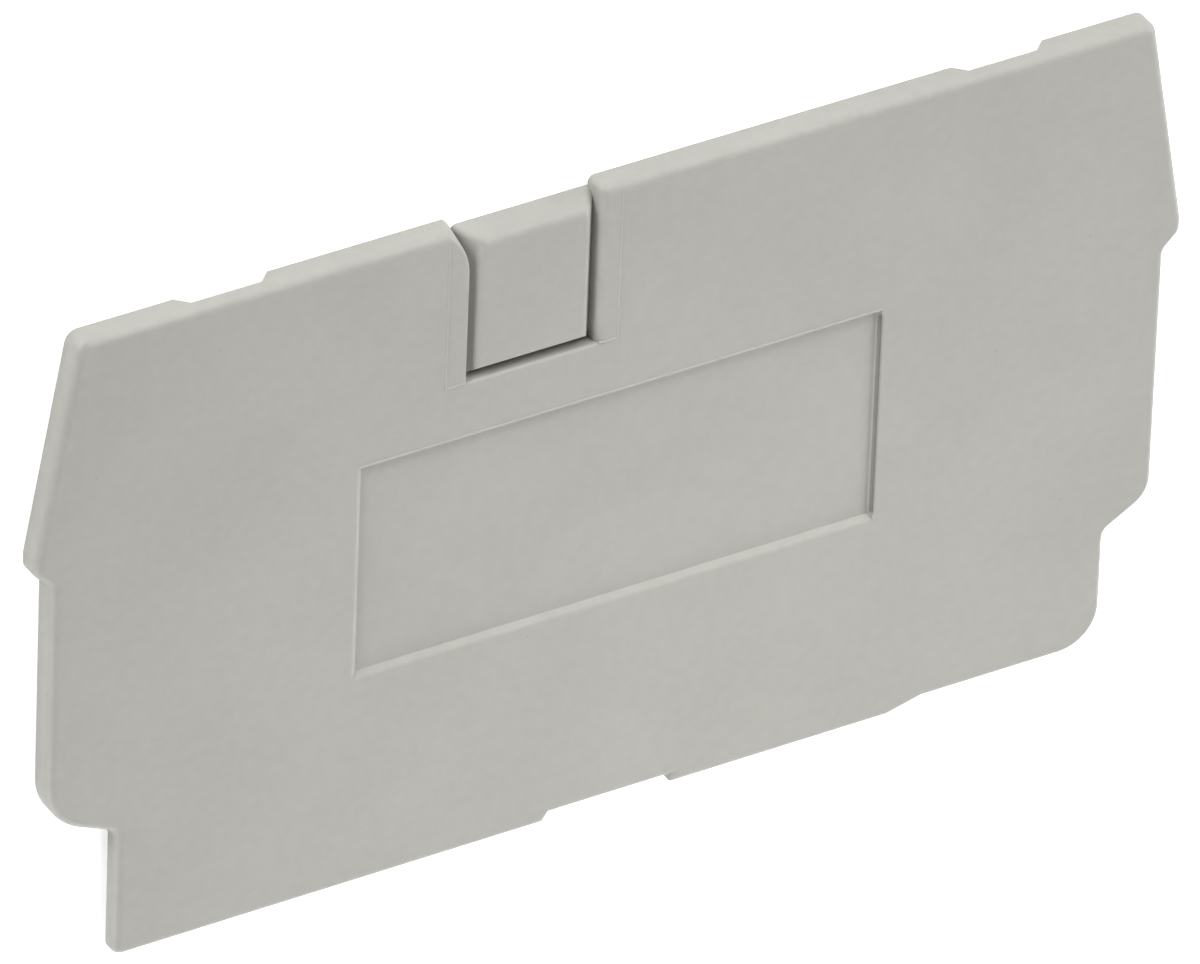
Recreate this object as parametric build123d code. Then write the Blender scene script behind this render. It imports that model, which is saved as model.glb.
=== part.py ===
from build123d import *
from math import radians, tan
import os

# Terminal block end cover: one thin moulded plate, in millimetres.
# It lies on its flat back, the face that closes the open side of a terminal block.
# The origin is the middle of the outline, on that back face. +Z comes out of the
# visible front face, and +Y points at the long straight top edge.

# Outline of the plate
plate_length = 56.0
plate_height = 32.2
plate_thickness = 1.18
front_edge_radius = 0.45
top_corner_radius = 0.6

# Shoulders: a slanting edge down to a short upright tip, undercut to the side below it
shoulder_lean = 1.85
shoulder_drop = 10.55
tip_height = 0.7
tip_radius = 0.6
side_inset = 0.8
undercut_angle = 45
undercut_radius = 0.5

# Lower corners: a round, then a sloping ledge in to the foot of the plate
left_corner_rise = 7.95
left_corner_radius = 2.8
left_ledge_angle = 23
left_foot_inset = 3.35
right_corner_rise = 7.55
right_corner_radius = 1.5
right_ledge_angle = 30
right_foot_inset = 2.28
ledge_inner_radius = 0.5

# Foot: its bottom corners, and the two pads that stand proud along its bottom edge
foot_left_radius = 0.5
foot_right_radius = 2.0
pad_height = 0.43
long_pad_reach = 2.8
long_pad_ramp = 0.3
short_pad_start = 3.55
short_pad_length = 10.75
short_pad_ramp = 1.7

# Pocket round the break-out tab, open at the top edge
pocket_middle = -4.285
pocket_width = 6.27
pocket_drop = 7.85
pocket_rim_radius = 0.15
web_thickness = 0.45
left_flare_radius = 3.0
left_flare_drop = 2.4
left_flare_rise = 0.4
right_flare_radius = 0.3

# Break-out tab: it fills the pocket at the web and slopes in to its face
tab_top_drop = 0.43
tab_side_angle = 39
tab_top_angle = 22
tab_top_radius = 0.5
tab_side_radius = 0.3

# Flash: fine ridges that the mould left on the face, beside the pocket and over the label's recess
flash_margin_left = 1.03
flash_margin_right = 1.05
flash_label_gap = 0.07
flash_radius = 0.06
flash_rise = 0.03

# Shallow recess for a label: its left and bottom walls lean, the other two are upright
label_middle_x = 0.215
label_pocket_gap = 2.76
label_length = 25.63
label_height = 10.85
label_depth = 0.24
label_wall_angle = 50
label_rim_radius = 0.3
label_floor_radius = 0.2

# Finger recesses in the back, at the top edge
notch_inset = 9.15
notch_width = 4.5
notch_depth = 0.56
notch_reach = 1.5
notch_ramp_angle = 45

# Thinned end of the foot, cut from the back
heel_length = 4.85
heel_height = 6.2
heel_depth = 0.42

# How far a cutting shape runs past the surface that it opens
overcut = 1.0

# How far apart two places may be and still count as one
tolerance = 0.01

# Lines that several features share
top_y = plate_height / 2
bottom_y = -plate_height / 2
raised_y = bottom_y + pad_height
tip_x = plate_length / 2
side_x = tip_x - side_inset
foot_left = left_foot_inset - side_x
foot_right = side_x - right_foot_inset
pocket_left = pocket_middle - pocket_width / 2
pocket_right = pocket_middle + pocket_width / 2
pocket_bottom = top_y - pocket_drop
tab_top_y = top_y - tab_top_drop
flash_left = pocket_left - flash_margin_left
flash_right = pocket_right + flash_margin_right
label_left = label_middle_x - label_length / 2
label_right = label_middle_x + label_length / 2
label_top = pocket_bottom - label_pocket_gap
label_bottom = label_top - label_height
label_floor_z = plate_thickness - label_depth
label_flash_y = label_top + flash_label_gap


def slope(height, angle):
    """Sideways run of a wall of this height that leans by angle degrees."""
    return height * tan(radians(angle))


def rectangle(left, right, bottom, top):
    """Flat rectangle between two x values and two y values."""
    return Pos((left + right) / 2, (bottom + top) / 2) * Rectangle(right - left, top - bottom)


def prism(sketch, bottom, top):
    """Solid over a flat sketch, between two heights."""
    return Pos(0, 0, bottom) * extrude(sketch, top - bottom)


def frustum(lower, bottom, upper, top):
    """Solid with flat sloping sides, between rectangles at two heights."""
    return loft([Pos(0, 0, bottom) * lower, Pos(0, 0, top) * upper], ruled=True)


def shoulder(side):
    """Corners of one shoulder, from the top edge down; side is 1 at the right, -1 at the left."""
    tip_top = top_y - shoulder_drop
    tip_bottom = tip_top - tip_height
    undercut_drop = (tip_x - side_x) / tan(radians(undercut_angle))
    return [
        (side * (tip_x - shoulder_lean), top_y, top_corner_radius),
        (side * tip_x, tip_top, 0),
        (side * tip_x, tip_bottom, tip_radius),
        (side * side_x, tip_bottom - undercut_drop, undercut_radius),
    ]


def lower_corner(side, rise, radius, ledge_angle, foot_inset):
    """Corners below one side: the round at its end, and where the ledge meets the foot."""
    corner_y = bottom_y + rise
    ledge_fall = slope(foot_inset, ledge_angle)
    return [
        (side * side_x, corner_y, radius),
        (side * (side_x - foot_inset), corner_y - ledge_fall, ledge_inner_radius),
    ]


def foot_corners():
    """Corners of the foot's bottom edge, from right to left."""
    short_pad_end = short_pad_start + short_pad_length
    return [
        (foot_right, raised_y, foot_right_radius),
        (short_pad_end + short_pad_ramp, raised_y, 0),
        (short_pad_end, bottom_y, 0),
        (short_pad_start, bottom_y, 0),
        (short_pad_start, raised_y, 0),
        (long_pad_ramp - long_pad_reach, raised_y, 0),
        (-long_pad_reach, bottom_y, 0),
        (foot_left, bottom_y, foot_left_radius),
    ]


def outline():
    """Flat outline of the whole plate, clockwise from its top right corner."""
    right = lower_corner(
        1, right_corner_rise, right_corner_radius, right_ledge_angle, right_foot_inset)
    left = lower_corner(-1, left_corner_rise, left_corner_radius, left_ledge_angle, left_foot_inset)
    corners = shoulder(1) + right + foot_corners() + left[::-1] + shoulder(-1)[::-1]
    points = [(x, y) for x, y, radius in corners]
    radii = [radius for x, y, radius in corners]
    return make_face(FilletPolyline(*points, radius=radii, close=True))


def flare(wall_x, start_y, radius, side):
    """What rounds the corner of a pocket wall and the top edge; side is as for shoulder."""
    outer_x = wall_x + side * radius
    corner = rectangle(min(wall_x, outer_x), max(wall_x, outer_x), start_y, start_y + radius)
    return corner - Pos(outer_x, start_y) * Circle(radius)


def left_flare():
    """The wide round of the mouth's left corner, which starts higher at the back than at the front."""
    at_front = flare(pocket_left, top_y - left_flare_drop, left_flare_radius, -1)
    outward = Vector(0, -left_flare_rise, plate_thickness)
    return extrude(Pos(0, left_flare_rise) * at_front, outward.length, dir=outward)


def pocket():
    """Room round the tab: down to the web, and right through where the mouth widens."""
    mouth_bottom = top_y - left_flare_drop
    right_flare = flare(pocket_right, top_y - right_flare_radius, right_flare_radius, 1)
    opening = rectangle(pocket_left, pocket_right, pocket_bottom, top_y + overcut)
    mouth = rectangle(pocket_left, pocket_right, mouth_bottom, top_y + overcut)
    room = prism(opening + right_flare, web_thickness, plate_thickness + overcut)
    return room + prism(mouth + right_flare, -overcut, web_thickness) + left_flare()


def front_edges(plate):
    """Edges round the plate's front face."""
    return plate.faces().filter_by(Axis.Z).sort_by(Axis.Z)[-1].outer_wire().edges()


def is_pocket_rim(edge):
    """Whether an edge of the front face follows a wall or a flare of the pocket."""
    middle = edge.center()
    in_reach = pocket_left - left_flare_radius < middle.X < pocket_right + right_flare_radius
    return in_reach and middle.Y > pocket_bottom - tolerance


def blank():
    """The plate with its pocket and its rounded front edges."""
    plate = extrude(outline(), plate_thickness) - pocket()
    outer_edges = front_edges(plate).filter_by(is_pocket_rim, reverse=True)
    plate = fillet(outer_edges, front_edge_radius)
    return fillet(front_edges(plate).filter_by(is_pocket_rim), pocket_rim_radius)


def tab_section(height):
    """The tab's rectangle at a height over the back face."""
    lean = slope(height - web_thickness, tab_side_angle)
    top = tab_top_y - slope(height, tab_top_angle)
    return rectangle(pocket_left + lean, pocket_right - lean, pocket_bottom + lean, top)


def tab_rim(block):
    """Edges of the tab's face, from the lowest to the one at its top."""
    return block.faces().sort_by(Axis.Z)[-1].edges().sort_by(Axis.Y)


def tab():
    """The break-out tab, and the web that joins it to the plate."""
    block = frustum(tab_section(0), 0, tab_section(plate_thickness), plate_thickness)
    block = fillet(tab_rim(block)[-1], tab_top_radius)
    return fillet(tab_rim(block)[:-1], tab_side_radius)


def ridge(start, end):
    """One ridge of flash, from one point of the face to another."""
    height = plate_thickness + flash_rise - flash_radius
    path = Line((*start, height), (*end, height))
    return extrude(Plane(path @ 0, z_dir=path % 0) * Circle(flash_radius), path.length)


def flash(outer_x, rim_x):
    """A ridge up beside the pocket, and one from its foot in to the pocket's lower corner."""
    upright = ridge((outer_x, pocket_bottom), (outer_x, top_y - front_edge_radius))
    level = ridge((outer_x, pocket_bottom), (rim_x, pocket_bottom))
    return upright + level


def label_section(low, high):
    """Section across the recess: a leaning wall with a rounded rim at low, an upright one at high."""
    turn = 90 - label_wall_angle
    rim_start = low - slope(label_rim_radius, turn / 2)
    outside = plate_thickness + overcut
    rim = JernArc((rim_start, plate_thickness), (1, 0), label_rim_radius, -turn)
    rest = FilletPolyline(
        rim @ 1,
        (low + slope(label_depth, label_wall_angle), label_floor_z),
        (high, label_floor_z),
        (high, outside),
        (rim_start, outside),
        rim @ 0,
        radius=[0, label_floor_radius, 0, 0],
    )
    return make_face(rim + rest)


def label_recess():
    """Shallow tray, where its two sections meet."""
    along = Plane.XZ * label_section(label_left, label_right)
    across = Plane.YZ * label_section(label_bottom, label_top)
    return extrude(along, plate_height, both=True) & extrude(across, plate_length, both=True)


def notch(middle):
    """Finger recess in the back at the top edge, with sloping ends."""
    half = notch_width / 2
    run = slope(notch_depth, notch_ramp_angle)
    section = Polygon(
        (middle - half, -overcut),
        (middle - half, 0),
        (middle - half + run, notch_depth),
        (middle + half - run, notch_depth),
        (middle + half, 0),
        (middle + half, -overcut),
        align=None,
    )
    outside = Pos(0, top_y + overcut, 0) * (Plane.XZ * section)
    return extrude(outside, notch_reach + overcut, dir=(0, -1, 0))


def heel():
    """What thins the left end of the foot from the back."""
    area = rectangle(
        foot_left - overcut, foot_left + heel_length, bottom_y - overcut, bottom_y + heel_height)
    return prism(area, -overcut, heel_depth)


def end_cover():
    """The whole plate, as one solid."""
    plate = blank() - label_recess() + tab()
    plate = plate + flash(flash_left, pocket_left - pocket_rim_radius)
    plate = plate + flash(flash_right, pocket_right + pocket_rim_radius)
    plate = plate + ridge((label_left, label_flash_y), (label_right, label_flash_y))
    for side in (-1, 1):
        plate = plate - notch(side * (tip_x - notch_inset))
    return plate - heel()


os.makedirs("parts", exist_ok=True)
export_step(end_cover().solid(), "parts/end_cover.step")
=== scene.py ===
import bpy
from math import cos, radians, sin
from mathutils import Matrix, Vector

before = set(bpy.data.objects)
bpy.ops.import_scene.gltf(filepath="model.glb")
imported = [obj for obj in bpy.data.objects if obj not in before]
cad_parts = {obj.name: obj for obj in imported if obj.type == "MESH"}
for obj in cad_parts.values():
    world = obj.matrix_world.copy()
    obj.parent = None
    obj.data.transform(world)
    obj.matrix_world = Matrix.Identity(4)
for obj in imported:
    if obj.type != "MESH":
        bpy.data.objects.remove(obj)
bpy.context.view_layer.update()

# Lengths are in metres, angles in degrees and powers in watts
MM = 0.001
WHITE = (1, 1, 1, 1)

# Camera: a long lens that looks down on the plate from its upper left, rolled as in the photo
AIM = Vector((0.000034, 0.000082, 0.0))
CAMERA_AZIMUTH = 126.99
CAMERA_ELEVATION = 44.52
CAMERA_ROLL = 135.18
CAMERA_DISTANCE = 0.91805
LENS_MM = 650
SENSOR_MM = 36

# Square soft lamps that face the middle of the plate: most stand all round, two small ones are near.
# Each has its azimuth from +X towards +Y, its elevation, its distance, its width and its power.
LAMPS = {
    "right": (0, 29, 0.25, 0.12, 0.34),
    "top": (90, 10, 0.25, 0.08, 0.09),
    "upper_left": (135, 11, 0.25, 0.08, 0.35),
    "lower_left": (225, 11, 0.25, 0.08, 0.24),
    "front": (270, 11, 0.25, 0.08, 0.15),
    "high_top": (62, 28, 0.25, 0.1, 0.22),
    "near_left": (243, 61, 0.069, 0.03, 0.0102),
    "near_right": (309, 62, 0.068, 0.03, 0.0070),
}
WORLD_LEVEL = 0.01
FLOOR_COLOR = (0.9, 0.9, 0.9, 1.0)
FLOOR_REACH = 3.0

# Glow of the floor where it is seen, by the distance from the plate's middle: less near the plate,
# where the lamps light the floor and the plate's shadow falls
GLOW_NEAR = 0.65
GLOW_FAR = 1.0
GLOW_RISE_START = 0.08
GLOW_RISE_END = 0.2

# Span of a noise's values that is stretched over each variation
NOISE_LOW = 0.3
NOISE_HIGH = 0.7

# Plastic: its colour, with large faint clouds and a small mottle
PLASTIC_COLOR = (0.462, 0.457, 0.424)
CLOUD_SIZE = 7 * MM
CLOUD_DETAIL = 3.0
CLOUD_SHARE = 0.02
MOTTLE_SIZE = 0.6 * MM
MOTTLE_SHARE = 0.015

# Dark specks: the radius is a share of their spacing, and the core a share of the radius
SPECK_SPACING = 1.5 * MM
SPECK_RADIUS = 0.035
SPECK_CORE = 0.5
SPECK_CHANCE = 0.25
SPECK_SHADE = 0.72

# Shine, which varies in small patches
ROUGHNESS = 0.6
ROUGHNESS_SPREAD = 0.06
SHINE_PATCH_SIZE = 0.4 * MM
SPECULAR_LEVEL = 0.35

# Edges that are rubbed smooth and carry a painted highlight, picked by the upward part of their normal:
# it is 1 on a flat and 0 on an upright wall
FLAT_FROM = 0.97
EDGE_TO = 0.85
EDGE_FROM = 0.4
WALL_TO = 0.15
EDGE_PATCH_SIZE = 1.2 * MM
EDGE_PATCH_HIGH = 0.6
EDGE_PATCH_LEAST = 0.4
# Painted highlight: how much lighter the colour is made on the rounded edges
EDGE_HIGHLIGHT_LIGHTER = 1.02
WORN_ROUGHNESS = 0.45

# Painted shade along the upright right wall of the label's recess
PAINTED_SHADE_MIDDLE = (13.03 * MM, 0.12 * MM, 1.06 * MM)
PAINTED_SHADE_CORE = 0.08 * MM
PAINTED_SHADE_REACH = 0.17 * MM
PAINTED_SHADE_HALF_LENGTH = 5.35 * MM
PAINTED_SHADE_FADE = 0.4 * MM
PAINTED_SHADE_DARKNESS = 0.45

# Relief of the moulded skin: a fine grain, and slow waves where the plastic shrank
GRAIN_SIZE = 0.09 * MM
GRAIN_DEPTH = 0.007 * MM
WAVE_SIZE = 4 * MM
WAVE_DETAIL = 1.0
WAVE_DEPTH = 0.05 * MM

# How much light spreads inside the plastic, how far, and how far each colour does for its part
SCATTER_SHARE = 0.4
SCATTER_REACH = 0.12 * MM
SCATTER_BY_COLOR = (1.0, 0.9, 0.7)


def direction(azimuth, elevation):
    """Unit vector at an azimuth from +X towards +Y and an elevation over the floor."""
    a = radians(azimuth)
    e = radians(elevation)
    return Vector((cos(a) * cos(e), sin(a) * cos(e), sin(e)))


def aimed(back):
    """Rotation whose own -Z looks against the given direction, with its +Y as upright as it can be."""
    return (-back).to_track_quat("-Z", "Y").to_matrix().to_4x4()


def add_camera():
    """The photo's camera."""
    back = direction(CAMERA_AZIMUTH, CAMERA_ELEVATION)
    data = bpy.data.cameras.new("camera")
    data.lens = LENS_MM
    data.sensor_width = SENSOR_MM
    camera = bpy.data.objects.new("camera", data)
    roll = Matrix.Rotation(radians(CAMERA_ROLL), 4, "Z")
    camera.matrix_world = Matrix.Translation(AIM + back * CAMERA_DISTANCE) @ aimed(back) @ roll
    bpy.context.collection.objects.link(camera)
    bpy.context.scene.camera = camera


def add_lamp(name, azimuth, elevation, distance, width, watts):
    """A square soft lamp that shines at the middle of the plate."""
    data = bpy.data.lights.new(name, "AREA")
    data.size = width
    data.energy = watts
    lamp = bpy.data.objects.new(name, data)
    toward = direction(azimuth, elevation)
    lamp.matrix_world = Matrix.Translation(toward * distance) @ aimed(toward)
    lamp.visible_camera = False
    bpy.context.collection.objects.link(lamp)


class Graph:
    """Short ways to add nodes to a material or a world."""

    def __init__(self, owner):
        owner.use_nodes = True
        self.tree = owner.node_tree
        self.tree.nodes.clear()

    def link(self, value, socket):
        """Puts a value or another node's output into a socket."""
        if isinstance(value, bpy.types.NodeSocket):
            self.tree.links.new(value, socket)
        else:
            socket.default_value = value

    def node(self, kind, settings=None, **inputs):
        """A node with its settings, and with its inputs by name, where _ stands for a space."""
        node = self.tree.nodes.new(kind)
        for name, value in (settings or {}).items():
            setattr(node, name, value)
        for name, value in inputs.items():
            self.link(value, node.inputs[name.replace("_", " ")])
        return node

    def math(self, operation, a, b=0.0, clamp=False):
        """One sum; the result is a socket."""
        node = self.node("ShaderNodeMath", {"operation": operation, "use_clamp": clamp})
        self.link(a, node.inputs[0])
        self.link(b, node.inputs[1])
        return node.outputs[0]

    def vector(self, operation, a, b=(0, 0, 0)):
        """One sum of vectors; the result is the node."""
        node = self.node("ShaderNodeVectorMath", {"operation": operation})
        self.link(a, node.inputs[0])
        self.link(b, node.inputs[1])
        return node

    def ramp(self, value, low, high, at_low, at_high):
        """Maps a span of values onto another, smoothly and within its ends."""
        settings = {"interpolation_type": "SMOOTHSTEP"}
        inputs = {"Value": value, "From_Min": low, "From_Max": high, "To_Min": at_low, "To_Max": at_high}
        return self.node("ShaderNodeMapRange", settings, **inputs).outputs["Result"]

    def noise(self, place, size, detail=2.0):
        """Noise from about 0 to 1, whose features are about as large as size."""
        inputs = {"Vector": place, "Scale": 1 / size, "Detail": detail}
        return self.node("ShaderNodeTexNoise", **inputs).outputs["Fac"]

    def variation(self, noise, middle, spread):
        """A noise stretched over the values up to spread away from the middle."""
        return self.ramp(noise, NOISE_LOW, NOISE_HIGH, middle - spread, middle + spread)


def seen_rays(graph):
    """1 for rays that show a background: straight to the camera, or by a mirror or glass."""
    path = graph.node("ShaderNodeLightPath")
    seen = graph.math("ADD", path.outputs["Is Camera Ray"], path.outputs["Is Glossy Ray"])
    return graph.math("ADD", seen, path.outputs["Is Transmission Ray"], clamp=True)


def add_world():
    """Faint even light from all round, and a white background where it is seen."""
    world = bpy.data.worlds.new("world")
    graph = Graph(world)
    light = graph.node("ShaderNodeBackground", Color=WHITE, Strength=WORLD_LEVEL)
    backdrop = graph.node("ShaderNodeBackground", Color=WHITE, Strength=1.0)
    mix = graph.node("ShaderNodeMixShader", Fac=seen_rays(graph))
    graph.link(light.outputs[0], mix.inputs[1])
    graph.link(backdrop.outputs[0], mix.inputs[2])
    graph.node("ShaderNodeOutputWorld", Surface=mix.outputs[0])
    bpy.context.scene.world = world


def floor_material():
    """White paper that takes the plate's shadow and looks white elsewhere."""
    material = bpy.data.materials.new("floor")
    graph = Graph(material)
    paper = graph.node("ShaderNodeBsdfDiffuse", Color=FLOOR_COLOR)
    place = graph.node("ShaderNodeTexCoord").outputs["Object"]
    apart = graph.vector("LENGTH", place).outputs["Value"]
    level = graph.ramp(apart, GLOW_RISE_START, GLOW_RISE_END, GLOW_NEAR, GLOW_FAR)
    glow = graph.node("ShaderNodeEmission", Strength=graph.math("MULTIPLY", seen_rays(graph), level))
    both = graph.node("ShaderNodeAddShader")
    graph.link(paper.outputs[0], both.inputs[0])
    graph.link(glow.outputs[0], both.inputs[1])
    graph.node("ShaderNodeOutputMaterial", Surface=both.outputs[0])
    return material


def add_floor():
    """Large flat floor under the plate."""
    reach = FLOOR_REACH
    mesh = bpy.data.meshes.new("floor")
    corners = [(-reach, -reach, 0), (reach, -reach, 0), (reach, reach, 0), (-reach, reach, 0)]
    mesh.from_pydata(corners, [], [(0, 1, 2, 3)])
    floor = bpy.data.objects.new("floor", mesh)
    bpy.context.collection.objects.link(floor)
    mesh.materials.append(floor_material())


def worn_and_highlight_edges(graph, place):
    """Mask for the edges' wear and painted highlight: up to 1 on the plate's rounded and leaning edges,
    in patches, and 0 on its flats and walls.
    """
    geometry = graph.node("ShaderNodeNewGeometry")
    normal = graph.node("ShaderNodeSeparateXYZ", Vector=geometry.outputs["Normal"])
    upward = graph.math("ABSOLUTE", normal.outputs["Z"])
    off_flat = graph.ramp(upward, FLAT_FROM, EDGE_TO, 0.0, 1.0)
    off_wall = graph.ramp(upward, WALL_TO, EDGE_FROM, 0.0, 1.0)
    noise = graph.noise(place, EDGE_PATCH_SIZE)
    patches = graph.ramp(noise, NOISE_LOW, EDGE_PATCH_HIGH, EDGE_PATCH_LEAST, 1.0)
    return graph.math("MULTIPLY", graph.math("MULTIPLY", off_flat, off_wall), patches)


def dark_specks(graph, place):
    """How dark a speck makes the plastic, and 1 between the specks."""
    cells = graph.node("ShaderNodeTexVoronoi", Vector=place, Scale=1 / SPECK_SPACING)
    core = SPECK_RADIUS * SPECK_CORE
    inside = graph.ramp(cells.outputs["Distance"], SPECK_RADIUS, core, 0.0, 1.0)
    chosen = graph.math("LESS_THAN", cells.outputs["Color"], SPECK_CHANCE)
    return graph.ramp(graph.math("MULTIPLY", inside, chosen), 0.0, 1.0, 1.0, SPECK_SHADE)


def label_wall_painted_shade(graph, place):
    """How dark the painted shade makes the right wall of the label's recess, and 1 elsewhere."""
    offset = graph.vector("SUBTRACT", place, PAINTED_SHADE_MIDDLE).outputs["Vector"]
    across = graph.vector("MULTIPLY", offset, (1, 0, 1)).outputs["Vector"]
    apart = graph.vector("LENGTH", across).outputs["Value"]
    along = graph.math("ABSOLUTE", graph.node("ShaderNodeSeparateXYZ", Vector=offset).outputs["Y"])
    close = graph.ramp(apart, PAINTED_SHADE_REACH, PAINTED_SHADE_CORE, 0.0, 1.0)
    inside = graph.ramp(along, PAINTED_SHADE_HALF_LENGTH, PAINTED_SHADE_HALF_LENGTH - PAINTED_SHADE_FADE, 0.0, 1.0)
    return graph.ramp(graph.math("MULTIPLY", close, inside), 0.0, 1.0, 1.0, PAINTED_SHADE_DARKNESS)


def shade(graph, place, worn_and_highlight):
    """How light the plastic is against its own colour, by its clouds and specks, a painted highlight on
    its rounded edges and painted shade along the label recess's right wall.
    """
    clouds = graph.variation(graph.noise(place, CLOUD_SIZE, CLOUD_DETAIL), 1, CLOUD_SHARE)
    mottle = graph.variation(graph.noise(place, MOTTLE_SIZE), 1, MOTTLE_SHARE)
    # Painted highlight: the rounded edges are made lighter
    edges = graph.ramp(worn_and_highlight, 0.0, 1.0, 1.0, EDGE_HIGHLIGHT_LIGHTER)
    skin = graph.math("MULTIPLY", clouds, mottle)
    marks = graph.math("MULTIPLY", dark_specks(graph, place), edges)
    skin = graph.math("MULTIPLY", skin, marks)
    # Painted shade along the label recess's right wall
    return graph.math("MULTIPLY", skin, label_wall_painted_shade(graph, place))


def roughness(graph, place, worn_and_highlight):
    """How rough the plastic is: in small patches, and less on its rubbed edges."""
    rough = graph.variation(graph.noise(place, SHINE_PATCH_SIZE), ROUGHNESS, ROUGHNESS_SPREAD)
    mix = graph.node("ShaderNodeMix", Factor=worn_and_highlight)
    graph.link(rough, mix.inputs[2])
    graph.link(WORN_ROUGHNESS, mix.inputs[3])
    return mix.outputs[0]


def relief(graph, place):
    """The skin's normal, with its waves and its grain."""
    wave_height = graph.noise(place, WAVE_SIZE, WAVE_DETAIL)
    waves = graph.node("ShaderNodeBump", Distance=WAVE_DEPTH, Height=wave_height)
    grain_height = graph.noise(place, GRAIN_SIZE)
    inputs = {"Distance": GRAIN_DEPTH, "Height": grain_height, "Normal": waves.outputs[0]}
    return graph.node("ShaderNodeBump", **inputs).outputs[0]


def plastic_material():
    """Matt moulded plastic with a fine grain."""
    material = bpy.data.materials.new("plastic")
    graph = Graph(material)
    place = graph.node("ShaderNodeTexCoord").outputs["Object"]
    worn_and_highlight = worn_and_highlight_edges(graph, place)
    color = graph.node("ShaderNodeVectorMath", {"operation": "SCALE"}, Scale=shade(graph, place, worn_and_highlight))
    graph.link(PLASTIC_COLOR, color.inputs[0])
    shader = graph.node(
        "ShaderNodeBsdfPrincipled",
        Base_Color=color.outputs[0],
        Roughness=roughness(graph, place, worn_and_highlight),
        Specular_IOR_Level=SPECULAR_LEVEL,
        Normal=relief(graph, place),
        Subsurface_Weight=SCATTER_SHARE,
        Subsurface_Radius=SCATTER_BY_COLOR,
        Subsurface_Scale=SCATTER_REACH,
    )
    graph.node("ShaderNodeOutputMaterial", Surface=shader.outputs[0])
    return material


def dress_cover():
    """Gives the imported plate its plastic."""
    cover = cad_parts["end_cover"]
    cover.data.materials.clear()
    cover.data.materials.append(plastic_material())


add_camera()
add_world()
for lamp_name, lamp_place in LAMPS.items():
    add_lamp(lamp_name, *lamp_place)
add_floor()
dress_cover()
bpy.context.scene.view_settings.view_transform = "Standard"
